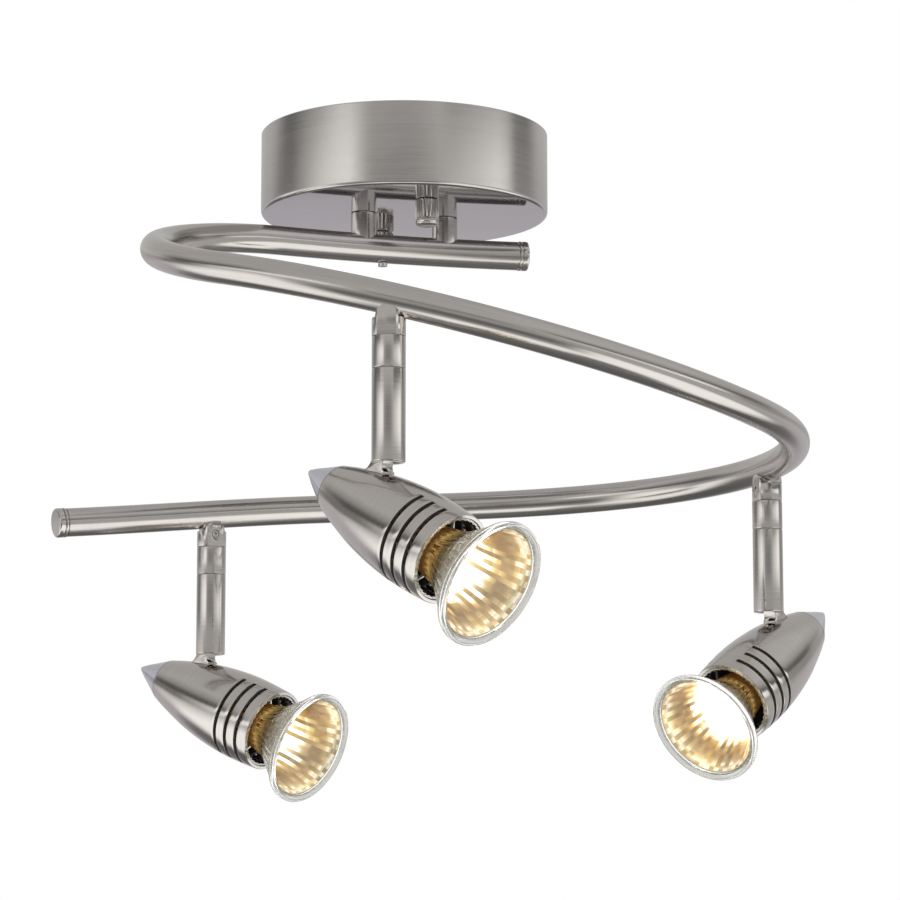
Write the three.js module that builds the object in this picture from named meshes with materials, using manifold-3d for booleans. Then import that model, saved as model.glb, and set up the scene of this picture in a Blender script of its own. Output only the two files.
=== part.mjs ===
import * as THREE from "three";
import { mergeVertices } from "three/addons/utils/BufferGeometryUtils.js";
import Module from "manifold-3d";

const wasm = await Module();
wasm.setup();

// Millimetres. Origin on the ceiling at the middle of the canopy, +Z up, +X along the top bar of the tube.
const GAP = 0.3; // air between two pieces that touch
const RUN = 0.1; // running clearance of a pin or spigot in its hole

const CANOPY_RADIUS = 63.5;
const CANOPY_HEIGHT = 36.5;
const CANOPY_WALL = 1.2;
const CANOPY_EDGE = 2;

const BRACKET_WIDTH = 22;
const BRACKET_LENGTH = 114;
const BRACKET_THICK = 2.2;
const BRACKET_SLOT_OFFSET = 48;
const STUD_RADIUS = 2;
const STUD_OFFSET = 34.93;
const STUD_LENGTH = 44.7;
const NUT_RADIUS = 5.1;
const NUT_LENGTH = 11.4;

const TUBE_RADIUS = 6.35;
const TUBE_BORE = 5.2;
const WIRE_HOLE = 2.6;
const CAP_RADIUS = 6.6;
const CAP_LENGTH = 5.3;

const POST_RADIUS = 5.65;
const POST_OFFSET = 18.75;
const SPIGOT_RADIUS = 4;
const SPIGOT_TOP = -27;

// The tube's centre line, as plan lengths and turns from the free end under the canopy to the lower free end.
const TUBE_START_X = 56.6;
const TUBE_START_Y = -3.4;
const TUBE_START_HEADING = 172.6;
const SPANS = [114.5, 167, 252, 329, 150.5];
const TURNS = [15, 117.7, 98.3, 139.4, 5.4];
const HEIGHTS = [-51.8, -51.9, -92.9, -144.7, -156.7, -171];

// Each arm: distance along the tube, compass direction of the head and its tilt below level, in degrees.
const ARMS = [
  { side: "centre", along: 354, heading: -57.1, tilt: 29 },
  { side: "right", along: 646, heading: -149.1, tilt: 32 },
  { side: "left", along: 939, heading: -51.3, tilt: 22.5 },
];

const NECK_RADIUS = 6.55;
const NECK_FLAT = 5.4;
const NECK_BOTTOM = -14.9;
const NECK_BORE = 2.6;
const SET_SCREW_HEIGHT = -9.3;
const SET_SCREW_RADIUS = 1.6;
const COLLAR_BOTTOM = -27.4;
const ARM_RADIUS = 6.5;
const SWIVEL_RADIUS = 3.7;
const SWIVEL_TOP = -20.5;
const STEM_BOTTOM = -63.6;
const PIN_HEIGHT = -57.6;
const PIN_RADIUS = 2;
const TONGUE_WIDTH = 6.4;
const TONGUE_THICK = 5.6;
const TONGUE_FOOT = 5;

// Head: distances along its own axis from the foot of the tilt pin, forward is positive.
const HEAD_DROP = 24.7;
const TIP_PROFILE = [
  [1.5, -31.8],
  [4, -28.4],
  [6.4, -22.9],
  [9.1, -17.5],
];
const TIP_SEAM = -16;
const SHELL_PROFILE = [
  [9.8, -15.7],
  [11.5, -10.9],
  [13.9, -2.5],
  [16, 6],
  [17.6, 15.5],
  [18.6, 25],
  [18.9, 34],
  [18.5, 45],
  [18.2, 48.5],
];
const SHELL_WALL = 1.6;
const SLOT_PLACES = [31, 37, 43];
const SLOT_WIDTH = 1.8;
const SLOT_REACH = 16;
const HOLDER_RADIUS = 12.6;
const HOLDER_BACK = 5;
const HOLDER_FRONT = 17.5;
const BASE_RADIUS = 9.5;
const BASE_FRONT = 28;
const LAMP_PIN_RADIUS = 2.4;
const LAMP_PIN_OFFSET = 5;
const LAMP_TWIST = 20;
const RIM_RADIUS = 25;
const RIM_FRONT = 71.6;
const RIM_THICK = 2.8;
const LENS_RADIUS = 22.4;

const NICKEL = [0xb4afaa, 0.2, 1];
const BRIGHT_STEEL = [0xc8c6c2, 0.3, 1];
const ZINC = [0x9fa2a5, 0.45, 1];
const BRASS = [0xb08d4a, 0.35, 1];
const PLASTIC = [0xd9d6cc, 0.6, 0];
const CERAMIC = [0xe9e6df, 0.55, 0];
const GLASS = [0xf3e3c2, 0.08, 0];

const root = new THREE.Group();
root.name = "spot_fixture";

function radians(degrees) {
  return (degrees * Math.PI) / 180;
}

function signedVolume(points, corners) {
  const a = new THREE.Vector3();
  const b = new THREE.Vector3();
  const c = new THREE.Vector3();
  let total = 0;
  for (let i = 0; i < corners.length; i += 3) {
    a.fromArray(points, corners[i] * 3);
    b.fromArray(points, corners[i + 1] * 3);
    c.fromArray(points, corners[i + 2] * 3);
    total += a.dot(b.cross(c)) / 6;
  }
  return total;
}

// A closed solid from a three.js geometry, its faces pointing out.
function solidOf(geometry) {
  const bare = geometry.index ? geometry.toNonIndexed() : geometry.clone();
  bare.deleteAttribute("normal");
  bare.deleteAttribute("uv");
  const merged = mergeVertices(bare, 1e-4);
  const points = merged.attributes.position.array;
  const index = merged.index.array;
  const corners = [];
  for (let i = 0; i < index.length; i += 3) {
    const [a, b, c] = [index[i], index[i + 1], index[i + 2]];
    if (a !== b && b !== c && c !== a) corners.push(a, b, c);
  }
  if (signedVolume(points, corners) < 0) corners.reverse();
  return new wasm.Manifold(
    new wasm.Mesh({
      numProp: 3,
      vertProperties: new Float32Array(points),
      triVerts: new Uint32Array(corners),
    }),
  );
}

// A profile of [radius, height] pairs turned about Z. It starts and ends on the axis, or closes on itself.
function turned(profile, sides = 20) {
  const points = profile.map(([r, z]) => new THREE.Vector2(r, z));
  const onAxis = profile[0][0] === 0 && profile[profile.length - 1][0] === 0;
  if (!onAxis) points.push(points[0].clone());
  return new THREE.LatheGeometry(points, sides).rotateX(Math.PI / 2);
}

function rod(radius, low, high, sides = 20) {
  return turned([[0, low], [radius, low], [radius, high], [0, high]], sides);
}

function pipe(outer, inner, low, high, sides = 20) {
  return turned([[inner, low], [outer, low], [outer, high], [inner, high]], sides);
}

function block(x0, x1, y0, y1, z0, z1) {
  const box = new THREE.BoxGeometry(x1 - x0, y1 - y0, z1 - z0);
  return box.translate((x0 + x1) / 2, (y0 + y1) / 2, (z0 + z1) / 2);
}

function alongX(geometry) {
  return geometry.rotateY(Math.PI / 2);
}

function alongY(geometry) {
  return geometry.rotateX(-Math.PI / 2);
}

// The first geometry with the others cut out of it.
function cut(geometry, ...cutters) {
  return cutters.reduce((solid, cutter) => solid.subtract(solidOf(cutter)), solidOf(geometry));
}

function joined(...geometries) {
  return geometries.map(solidOf).reduce((all, next) => all.add(next));
}

function add(parent, name, solid, [color, roughness, metalness]) {
  const { vertProperties, triVerts } = solid.getMesh();
  const geometry = new THREE.BufferGeometry();
  geometry.setAttribute("position", new THREE.BufferAttribute(vertProperties, 3));
  geometry.setIndex(new THREE.BufferAttribute(triVerts, 1));
  geometry.computeVertexNormals();
  const material = new THREE.MeshStandardMaterial({ color, roughness, metalness });
  const mesh = new THREE.Mesh(geometry, material);
  mesh.name = name;
  parent.add(mesh);
}

// Height of the tube's centre line at knot distances, joined by a curve that never overshoots.
const KNOTS = [0];
for (const span of SPANS) KNOTS.push(KNOTS[KNOTS.length - 1] + span);
const TUBE_LENGTH = KNOTS[KNOTS.length - 1];
const RISES = SPANS.map((span, i) => (HEIGHTS[i + 1] - HEIGHTS[i]) / span);

function slopeAt(i) {
  if (i === 0) return RISES[0];
  if (i === RISES.length) return RISES[i - 1];
  const before = 2 * SPANS[i] + SPANS[i - 1];
  const after = SPANS[i] + 2 * SPANS[i - 1];
  return (before + after) / (before / RISES[i - 1] + after / RISES[i]);
}

// Point on the tube's centre line at a plan distance from its start, with heading and slope.
function tubeAt(distance) {
  let x = TUBE_START_X;
  let y = TUBE_START_Y;
  let heading = radians(TUBE_START_HEADING);
  let i = 0;
  for (i = 0; i < SPANS.length; i += 1) {
    const bend = radians(TURNS[i]) / SPANS[i];
    const length = Math.min(SPANS[i], distance - KNOTS[i]);
    x += (Math.sin(heading + bend * length) - Math.sin(heading)) / bend;
    y += (Math.cos(heading) - Math.cos(heading + bend * length)) / bend;
    heading += bend * length;
    if (distance <= KNOTS[i + 1] || i === SPANS.length - 1) break;
  }
  const t = (distance - KNOTS[i]) / SPANS[i];
  const [low, high] = [slopeAt(i) * SPANS[i], slopeAt(i + 1) * SPANS[i]];
  const rise = HEIGHTS[i + 1] - HEIGHTS[i];
  const z = HEIGHTS[i] + t * (low + t * (3 * rise - 2 * low - high + t * (low + high - 2 * rise)));
  const slope = (low + t * (2 * (3 * rise - 2 * low - high) + 3 * t * (low + high - 2 * rise))) / SPANS[i];
  return { point: new THREE.Vector3(x, y, z), heading, slope };
}

// ---- Ceiling side: crossbar, studs, wiring block and canopy ----

function ceilingPlate() {
  const cutters = [];
  for (const way of [-1, 1]) {
    const slot = way * BRACKET_SLOT_OFFSET;
    cutters.push(block(-2.4, 2.4, slot - 6, slot + 6, -BRACKET_THICK - 1, 1));
    cutters.push(rod(STUD_RADIUS + GAP, -BRACKET_THICK - 1, 1, 16).translate(0, way * STUD_OFFSET, 0));
  }
  cutters.push(rod(1.8, -BRACKET_THICK - 1, 1, 12).translate(0, 20, 0));
  const half = BRACKET_LENGTH / 2;
  const plate = block(-BRACKET_WIDTH / 2, BRACKET_WIDTH / 2, -half, half, -BRACKET_THICK, 0);
  add(root, "mounting_bracket", cut(plate, ...cutters), ZINC);

  const screw = joined(rod(1.5, -4.5, -GAP, 12), rod(3, -4.7, -BRACKET_THICK - GAP, 12));
  const slot = solidOf(block(-4, 4, -0.4, 0.4, -6, -4.1));
  const earth = new THREE.Group();
  earth.position.set(0, 20, 0);
  root.add(earth);
  add(earth, "earth_screw", screw.subtract(slot), BRASS);

  const blockTop = -BRACKET_THICK - GAP;
  const wires = [-10, 0, 10].map((x) => alongY(rod(2, -8, 8, 12)).translate(x, 0, blockTop - 7));
  const screws = [-10, 0, 10].map((x) => rod(1.6, blockTop - 14, blockTop - 10, 12).translate(x, 0, 0));
  const terminal = block(-15, 15, -6.5, 6.5, blockTop - 12, blockTop);
  add(root, "terminal_block", cut(terminal, ...wires, ...screws), PLASTIC);
}

function canopy() {
  const outer = CANOPY_RADIUS;
  const inner = CANOPY_RADIUS - CANOPY_WALL;
  const floor = -CANOPY_HEIGHT;
  const cup = turned(
    [
      [0, floor],
      [outer - CANOPY_EDGE, floor],
      [outer - 0.6, floor + 0.6],
      [outer, floor + CANOPY_EDGE],
      [outer, 0],
      [inner, 0],
      [inner, floor + CANOPY_WALL + 1],
      [inner - 1, floor + CANOPY_WALL],
      [0, floor + CANOPY_WALL],
    ],
    40,
  );
  const holes = [];
  for (const way of [-1, 1]) {
    holes.push(rod(STUD_RADIUS + 0.6, floor - 1, floor + 3, 16).translate(0, way * STUD_OFFSET, 0));
    holes.push(rod(SPIGOT_RADIUS + GAP, floor - 1, floor + 3, 16).translate(way * POST_OFFSET, 0, 0));
  }
  add(root, "canopy", cut(cup, ...holes), NICKEL);
}

function studAndNut(end, way) {
  const group = new THREE.Group();
  group.position.set(0, way * STUD_OFFSET, 0);
  root.add(group);
  const stud = rod(STUD_RADIUS, -STUD_LENGTH - GAP, -GAP, 16);
  add(group, end + "_stud", solidOf(stud), BRIGHT_STEEL);
  const top = -CANOPY_HEIGHT - GAP;
  const low = top - NUT_LENGTH;
  const body = turned([
    [0, low],
    [NUT_RADIUS * 0.5, low + 0.3],
    [NUT_RADIUS * 0.86, low + 1.4],
    [NUT_RADIUS, low + 3.2],
    [NUT_RADIUS, top - 0.5],
    [NUT_RADIUS - 0.5, top],
    [0, top],
  ]);
  const bore = rod(STUD_RADIUS + RUN, -STUD_LENGTH - 2 * GAP, top + 1, 16);
  add(group, end + "_thumb_nut", cut(body, bore), NICKEL);
}

function post(end, way) {
  const group = new THREE.Group();
  group.position.set(way * POST_OFFSET, 0, 0);
  root.add(group);
  const shoulder = -CANOPY_HEIGHT - GAP;
  const centre = tubeAt(TUBE_START_X - way * POST_OFFSET).point.z;
  const body = turned([
    [0, centre],
    [POST_RADIUS, centre],
    [POST_RADIUS, shoulder],
    [SPIGOT_RADIUS, shoulder],
    [SPIGOT_RADIUS, SPIGOT_TOP],
    [0, SPIGOT_TOP],
  ]);
  const saddle = alongX(rod(TUBE_RADIUS + GAP, -20, 20)).translate(0, 0, centre);
  const bore = rod(WIRE_HOLE, centre - 1, SPIGOT_TOP + 1, 12);
  add(group, end + "_post", cut(body, saddle, bore), NICKEL);
  const seat = -CANOPY_HEIGHT + CANOPY_WALL + GAP;
  const hexagon = rod(7.5, seat, seat + 4, 6);
  add(group, end + "_post_nut", cut(hexagon, rod(SPIGOT_RADIUS + GAP, seat - 1, seat + 5, 16)), ZINC);
}

// ---- The swept tube ----

class CentreLine extends THREE.Curve {
  getPoint(t, target = new THREE.Vector3()) {
    const distance = CAP_LENGTH + t * (TUBE_LENGTH - 2 * CAP_LENGTH);
    return target.copy(tubeAt(distance).point);
  }
}

function polygonPath(path, radius, sides) {
  for (let i = 0; i < sides; i += 1) {
    const angle = (2 * Math.PI * i) / sides;
    const [x, y] = [radius * Math.cos(angle), radius * Math.sin(angle)];
    if (i === 0) path.moveTo(x, y);
    else path.lineTo(x, y);
  }
  path.closePath();
  return path;
}

// A group on the tube's centre line, its X along the tube and its Z straight up.
function stationOnTube(distance) {
  const { point, heading } = tubeAt(distance);
  const group = new THREE.Group();
  group.position.copy(point);
  group.rotation.z = heading;
  group.updateMatrixWorld(true);
  return group;
}

function spiralTube() {
  const section = polygonPath(new THREE.Shape(), TUBE_RADIUS, 16);
  section.holes.push(polygonPath(new THREE.Path(), TUBE_BORE, 8));
  const sweep = new THREE.ExtrudeGeometry(section, {
    steps: 64,
    extrudePath: new CentreLine(),
  });
  const holes = ARMS.map(({ along }) =>
    rod(WIRE_HOLE, -TUBE_RADIUS - 1, -1, 12).applyMatrix4(stationOnTube(along).matrixWorld),
  );
  for (const way of [-1, 1]) {
    const station = stationOnTube(TUBE_START_X - way * POST_OFFSET);
    holes.push(rod(WIRE_HOLE, 1, TUBE_RADIUS + 1, 12).applyMatrix4(station.matrixWorld));
  }
  const screwStation = stationOnTube(TUBE_START_X + 10);
  root.add(screwStation);
  holes.push(rod(1.3 + GAP, -TUBE_RADIUS - 1, -1, 12).applyMatrix4(screwStation.matrixWorld));
  add(root, "spiral_tube", cut(sweep, ...holes), NICKEL);
  const head = -TUBE_RADIUS - GAP;
  const tubeScrew = joined(rod(1.3, head - 0.4, -3, 12), rod(2.1, head - 1.2, head, 12));
  const driver = solidOf(block(-3, 3, -0.3, 0.3, head - 2, head - 0.8));
  add(screwStation, "tube_screw", tubeScrew.subtract(driver), BRIGHT_STEEL);
}

function endCap(end, distance, outward) {
  const station = stationOnTube(distance);
  const tilt = new THREE.Group();
  tilt.rotation.y = -Math.atan(tubeAt(distance).slope);
  station.add(tilt);
  root.add(station);
  const profile = [
    [0, -6],
    [TUBE_BORE - 0.6, -6],
    [TUBE_BORE - 0.4, 0],
    [CAP_RADIUS, 0],
    [CAP_RADIUS, CAP_LENGTH - GAP - 0.6],
    [CAP_RADIUS - 0.6, CAP_LENGTH - GAP],
    [0, CAP_LENGTH - GAP],
  ];
  const cap = turned(profile.map(([r, z]) => [r, outward * (z + GAP)]));
  add(tilt, end + "_end_cap", solidOf(alongX(cap)), NICKEL);
}

// ---- One arm: neck, collar, swivelling stem and head ----

function neckAndCollar(side, station, slope) {
  const neck = rod(NECK_RADIUS, NECK_BOTTOM, 0);
  const saddle = alongX(rod(TUBE_RADIUS + GAP, -20, 20)).rotateY(-Math.atan(slope));
  const bore = rod(NECK_BORE, NECK_BOTTOM - 1, 1, 12);
  const flats = [-1, 1].map((way) => {
    const near = way * NECK_FLAT;
    const far = way * 12;
    return block(-12, 12, Math.min(near, far), Math.max(near, far), NECK_BOTTOM - 1, 1);
  });
  const screwHole = alongY(rod(SET_SCREW_RADIUS + GAP, 1, 9, 12)).translate(0, 0, SET_SCREW_HEIGHT);
  add(station, side + "_neck", cut(neck, saddle, bore, ...flats, screwHole), NICKEL);

  const screw = alongY(rod(SET_SCREW_RADIUS, NECK_BORE + GAP, NECK_FLAT, 12));
  const socket = alongY(rod(0.8, NECK_FLAT - 1.2, NECK_FLAT + 1, 6));
  const setScrew = cut(screw.translate(0, 0, SET_SCREW_HEIGHT), socket.translate(0, 0, SET_SCREW_HEIGHT));
  add(station, side + "_set_screw", setScrew, BRIGHT_STEEL);

  const low = COLLAR_BOTTOM;
  const top = NECK_BOTTOM - GAP;
  const collar = turned([
    [SWIVEL_RADIUS + RUN, low],
    [ARM_RADIUS - 0.3, low],
    [ARM_RADIUS, low + 0.3],
    [ARM_RADIUS, top - 0.3],
    [ARM_RADIUS - 0.3, top],
    [SWIVEL_RADIUS + RUN, top],
  ]);
  add(station, side + "_collar", solidOf(collar), NICKEL);
}

function stem(side, frame) {
  const top = COLLAR_BOTTOM - GAP;
  const body = turned([
    [0, STEM_BOTTOM],
    [ARM_RADIUS - 0.7, STEM_BOTTOM],
    [ARM_RADIUS, STEM_BOTTOM + 0.7],
    [ARM_RADIUS, top - 0.3],
    [ARM_RADIUS - 0.3, top],
    [SWIVEL_RADIUS, top],
    [SWIVEL_RADIUS, SWIVEL_TOP],
    [0, SWIVEL_TOP],
  ]);
  const halfSlot = TONGUE_WIDTH / 2 + GAP;
  const front = TONGUE_THICK / 2 + GAP;
  const slotTop = PIN_HEIGHT + TONGUE_THICK / 2 + 2 * GAP;
  const slot = block(-10, front, -halfSlot, halfSlot, STEM_BOTTOM - 1, slotTop);
  const wireWay = rod(1.8, slotTop - 1, SWIVEL_TOP + 1, 12);
  const pinHole = alongY(rod(PIN_RADIUS + RUN, -9, 9, 16)).translate(0, 0, PIN_HEIGHT);
  add(frame, side + "_stem", cut(body, slot, wireWay, pinHole), NICKEL);
  const reach = ARM_RADIUS - 0.5;
  const pin = alongY(rod(PIN_RADIUS, -reach, reach, 16)).translate(0, 0, PIN_HEIGHT);
  add(frame, side + "_tilt_pin", solidOf(pin), BRIGHT_STEEL);
}

function tongue(side, head) {
  const halfWidth = TONGUE_WIDTH / 2;
  const halfThick = TONGUE_THICK / 2;
  const low = -HEAD_DROP + 8;
  const bar = joined(
    block(-halfThick, halfThick, -halfWidth, halfWidth, low, 0),
    alongY(rod(halfThick, -halfWidth, halfWidth, 16)),
    block(-TONGUE_FOOT, TONGUE_FOOT, -halfWidth, halfWidth, low, -7.6),
  );
  const shell = SHELL_PROFILE.map(([r, z]) => [r + GAP, z]);
  const inside = [[0, SHELL_PROFILE[0][1]], ...shell, [0, shell[shell.length - 1][1]]];
  const clear = solidOf(alongX(turned(inside)).translate(0, 0, -HEAD_DROP));
  const eye = solidOf(alongY(rod(PIN_RADIUS + RUN, -9, 9, 16)));
  add(head, side + "_tongue", bar.subtract(clear).subtract(eye), NICKEL);
}

function housing(side, axis) {
  const tip = [[0, TIP_PROFILE[0][1]], ...TIP_PROFILE, [SHELL_PROFILE[0][0], TIP_SEAM], [0, TIP_SEAM]];
  add(axis, side + "_tail_cone", solidOf(alongX(turned(tip))), NICKEL);

  const back = SHELL_PROFILE[0][1];
  const everyOther = SHELL_PROFILE.filter((pair, i) => i % 2 === 0);
  const inner = everyOther.map(([r, z]) => [r - SHELL_WALL, z]).reverse();
  inner[inner.length - 1] = [SHELL_PROFILE[0][0] - 0.5, back + SHELL_WALL];
  const wall = turned([[0, back], ...SHELL_PROFILE, ...inner, [0, back + SHELL_WALL]]);
  const slots = SLOT_PLACES.map((place) =>
    block(place - SLOT_WIDTH / 2, place + SLOT_WIDTH / 2, -30, 30, -SLOT_REACH, SLOT_REACH),
  );
  add(axis, side + "_housing", cut(alongX(wall), ...slots), NICKEL);

  const holder = alongX(rod(HOLDER_RADIUS, HOLDER_BACK, HOLDER_FRONT, 20));
  const pinWays = [];
  for (const way of [-1, 1]) {
    for (const turn of [0, LAMP_TWIST / 2, LAMP_TWIST]) {
      const way1 = alongX(rod(LAMP_PIN_RADIUS + 0.5, HOLDER_FRONT - 5, HOLDER_FRONT + 1, 8));
      way1.translate(0, way * LAMP_PIN_OFFSET, 0);
      pinWays.push(way1.rotateX(radians(turn)));
    }
  }
  add(axis, side + "_lampholder", cut(holder, ...pinWays), CERAMIC);

  const front = SHELL_PROFILE[SHELL_PROFILE.length - 1];
  const outer = front[0] - SHELL_WALL - GAP;
  add(axis, side + "_retaining_ring", solidOf(alongX(pipe(outer, outer - 0.6, 45.6, 48.2))), ZINC);
}

function lamp(side, axis) {
  const base = [alongX(rod(BASE_RADIUS, HOLDER_FRONT + GAP, BASE_FRONT, 20))];
  for (const way of [-1, 1]) {
    const pin = alongX(rod(LAMP_PIN_RADIUS, HOLDER_FRONT - 4, HOLDER_FRONT + 2, 8));
    base.push(pin.translate(0, way * LAMP_PIN_OFFSET, 0));
  }
  add(axis, side + "_lamp_base", joined(...base), CERAMIC);

  const back = BASE_FRONT + GAP;
  const rimBack = RIM_FRONT - RIM_THICK;
  const glass = turned([
    [0, back],
    [10.2, back],
    [12, 35],
    [15.3, 49.5],
    [19.2, 58],
    [23.4, rimBack],
    [RIM_RADIUS, rimBack],
    [RIM_RADIUS, RIM_FRONT],
    [LENS_RADIUS + GAP, RIM_FRONT],
    [LENS_RADIUS + GAP, RIM_FRONT - 2],
    [LENS_RADIUS - 1, RIM_FRONT - 2],
    [17.4, 57],
    [11.8, 43],
    [8, 33],
    [0, 30.5],
  ]);
  add(axis, side + "_lamp_reflector", solidOf(alongX(glass)), GLASS);
  const lens = alongX(rod(LENS_RADIUS, RIM_FRONT - 2 + GAP, RIM_FRONT - 0.4));
  add(axis, side + "_lamp_lens", solidOf(lens), GLASS);
  const capsule = turned([[0, 32.2], [3.4, 34], [3.8, 36], [3.8, 44], [2.2, 46.5], [0, 47]], 12);
  add(axis, side + "_lamp_capsule", solidOf(alongX(capsule)), GLASS);
}

function arm({ side, along, heading, tilt }) {
  const { slope, heading: tubeHeading } = tubeAt(along);
  const station = stationOnTube(along);
  station.name = side + "_arm";
  root.add(station);
  neckAndCollar(side, station, slope);

  const frame = new THREE.Group();
  frame.name = side + "_swivel";
  frame.rotation.z = radians(heading) - tubeHeading;
  station.add(frame);
  stem(side, frame);

  const head = new THREE.Group();
  head.name = side + "_tilt";
  head.position.z = PIN_HEIGHT;
  head.rotation.y = radians(tilt);
  frame.add(head);
  tongue(side, head);

  const axis = new THREE.Group();
  axis.name = side + "_axis";
  axis.position.z = -HEAD_DROP;
  head.add(axis);
  housing(side, axis);
  lamp(side, axis);
}

ceilingPlate();
canopy();
studAndNut("front", -1);
studAndNut("rear", 1);
post("left", -1);
post("right", 1);
spiralTube();
endCap("upper", CAP_LENGTH, -1);
endCap("lower", TUBE_LENGTH - CAP_LENGTH, 1);
for (const each of ARMS) arm(each);

export default root;
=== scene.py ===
import math
import random

import bmesh
import bpy
from mathutils import Matrix, Vector


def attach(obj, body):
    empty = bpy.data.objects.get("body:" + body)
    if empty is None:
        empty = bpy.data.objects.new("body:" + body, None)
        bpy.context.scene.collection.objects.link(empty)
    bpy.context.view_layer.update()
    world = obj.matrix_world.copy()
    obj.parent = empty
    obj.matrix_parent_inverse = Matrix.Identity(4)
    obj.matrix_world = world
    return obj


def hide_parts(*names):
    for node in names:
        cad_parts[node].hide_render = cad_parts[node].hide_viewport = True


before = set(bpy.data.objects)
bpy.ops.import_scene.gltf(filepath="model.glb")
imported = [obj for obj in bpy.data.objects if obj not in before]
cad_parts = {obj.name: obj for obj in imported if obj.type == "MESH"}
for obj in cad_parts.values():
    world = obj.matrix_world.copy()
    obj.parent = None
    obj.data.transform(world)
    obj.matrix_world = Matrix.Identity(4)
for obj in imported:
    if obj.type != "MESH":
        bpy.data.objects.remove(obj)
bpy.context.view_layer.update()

MM = 0.001
CEILING_FACE = Matrix.Identity(4)
Z_TO_X = Matrix.Rotation(math.pi / 2, 4, "Y")
Z_TO_Y = Matrix.Rotation(-math.pi / 2, 4, "X")

# ---- Sizes, in millimetres, the same as the frame's ----

CANOPY_RADIUS = 63.5
CANOPY_HEIGHT = 36.5
CANOPY_WALL = 1.2
CANOPY_FILLET = 1.9
STUD_HOLE = 2.6
POST_HOLE = 4.3
TUBE_RADIUS = 6.35
TUBE_BORE = 5.2
SADDLE_RADIUS = TUBE_RADIUS - 0.05
TUBE_START = (56.6, -3.4)
TUBE_START_HEADING = math.radians(172.6)
# The tube's bends: length in plan, turn in degrees, and the heights at the ends of each.
SPANS = (114.5, 167, 252, 329, 150.5)
TURNS = (15, 117.7, 98.3, 139.4, 5.4)
HEIGHTS = (-51.8, -51.9, -92.9, -144.7, -156.7, -171)
CAP_LENGTH = 5.3
POST_OFFSET = 18.75
POST_RADIUS = 5.65
NUT_OFFSET = 34.93
NUT_LENGTH = 11.4
NUT_GAP = 0.3
# Each arm: place along the tube, heading of its stem and tilt of its head, in degrees.
ARMS = {"centre": (354, -57.1, 29), "right": (646, -149.1, 32), "left": (939, -51.3, 22.5)}
NECK_RADIUS = 6.55
NECK_BOTTOM = -14.9
NECK_FLAT = 5.4
NECK_ARCH_RADIUS = 4.55
NECK_ARCH_HEIGHT = -7.9
GRUB_HEIGHT = -9.3
GRUB_HOLE = 1.75
COLLAR_BOTTOM = -27.4
ARM_RADIUS = 6.5
ARM_GAP = 0.12
STEM_BOTTOM = -63.6
STEM_BORE = 1.8
TONGUE_SLOT = 3.5
TONGUE_HALF = 3.2
PIN_RADIUS = 2
PIN_HALF = 5.5
PIN_HEIGHT = -57.6
HEAD_DROP = 24.7
SLOT_PLACES = (31, 37, 43)
SLOT_HALF = 0.9
SLOT_REACH = 17.3
CROWN_FINS = 36
RIM_FRONT = 71.6
RIM_DEPTH = 2.8
RIM_RADIUS = 25
COAT_COLUMNS = 56
COAT_THICKNESS = 0.25
COAT_SEED = 7
# Outline of the bullet housing: radius, and place along the head's axis.
SHELL = (
    (9.8, -15.9),
    (11.5, -10.9),
    (13.9, -2.5),
    (16, 6),
    (17.6, 15.5),
    (18.6, 25),
    (18.9, 34),
    (18.5, 45),
    (18.2, 48.5),
)


# ---- Centre line of the tube ----

KNOTS = [sum(SPANS[:i]) for i in range(len(SPANS) + 1)]
TUBE_LENGTH = KNOTS[-1]
RISES = [(HEIGHTS[i + 1] - HEIGHTS[i]) / SPANS[i] for i in range(len(SPANS))]


def slope_at(i):
    """Rise of the centre line where two bends meet, with no overshoot on either side."""
    if i == 0:
        return RISES[0]
    if i == len(RISES):
        return RISES[-1]
    before = 2 * SPANS[i] + SPANS[i - 1]
    after = SPANS[i] + 2 * SPANS[i - 1]
    return (before + after) / (before / RISES[i - 1] + after / RISES[i])


def tube_at(distance):
    """Point, compass heading and slope of the tube's centre line at a plan distance from its upper end."""
    x, y = TUBE_START
    heading = TUBE_START_HEADING
    for i, span in enumerate(SPANS):
        bend = math.radians(TURNS[i]) / span
        length = min(span, distance - KNOTS[i])
        x += (math.sin(heading + bend * length) - math.sin(heading)) / bend
        y += (math.cos(heading) - math.cos(heading + bend * length)) / bend
        heading += bend * length
        if distance <= KNOTS[i + 1] or i == len(SPANS) - 1:
            break
    t = (distance - KNOTS[i]) / SPANS[i]
    low, high = slope_at(i) * SPANS[i], slope_at(i + 1) * SPANS[i]
    rise = HEIGHTS[i + 1] - HEIGHTS[i]
    bow, twist = 3 * rise - 2 * low - high, low + high - 2 * rise
    z = HEIGHTS[i] + t * (low + t * (bow + t * twist))
    slope = (low + t * (2 * bow + 3 * t * twist)) / SPANS[i]
    return Vector((x, y, z)), heading, slope


def station(distance, along_slope=False):
    """Frame on the centre line, X along the tube, in metres."""
    point, heading, slope = tube_at(distance)
    place = Matrix.Translation(point * MM) @ Matrix.Rotation(heading, 4, "Z")
    if along_slope:
        place = place @ Matrix.Rotation(-math.atan(slope), 4, "Y")
    return place


# ---- Mesh tools ----

LINE_STRETCH = 0.06
LINE_PITCH = 5


def raw_object(name, verts, faces, place=CEILING_FACE):
    """A closed mesh from points in millimetres, its faces turned outwards."""
    mesh = bpy.data.meshes.new(name)
    mesh.from_pydata([Vector(v) * MM for v in verts], [], faces)
    bm = bmesh.new()
    bm.from_mesh(mesh)
    bmesh.ops.remove_doubles(bm, verts=bm.verts, dist=1e-7)
    bmesh.ops.recalc_face_normals(bm, faces=bm.faces)
    bm.to_mesh(mesh)
    bm.free()
    obj = bpy.data.objects.new(name, mesh)
    bpy.context.scene.collection.objects.link(obj)
    obj.matrix_world = place
    return obj


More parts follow.
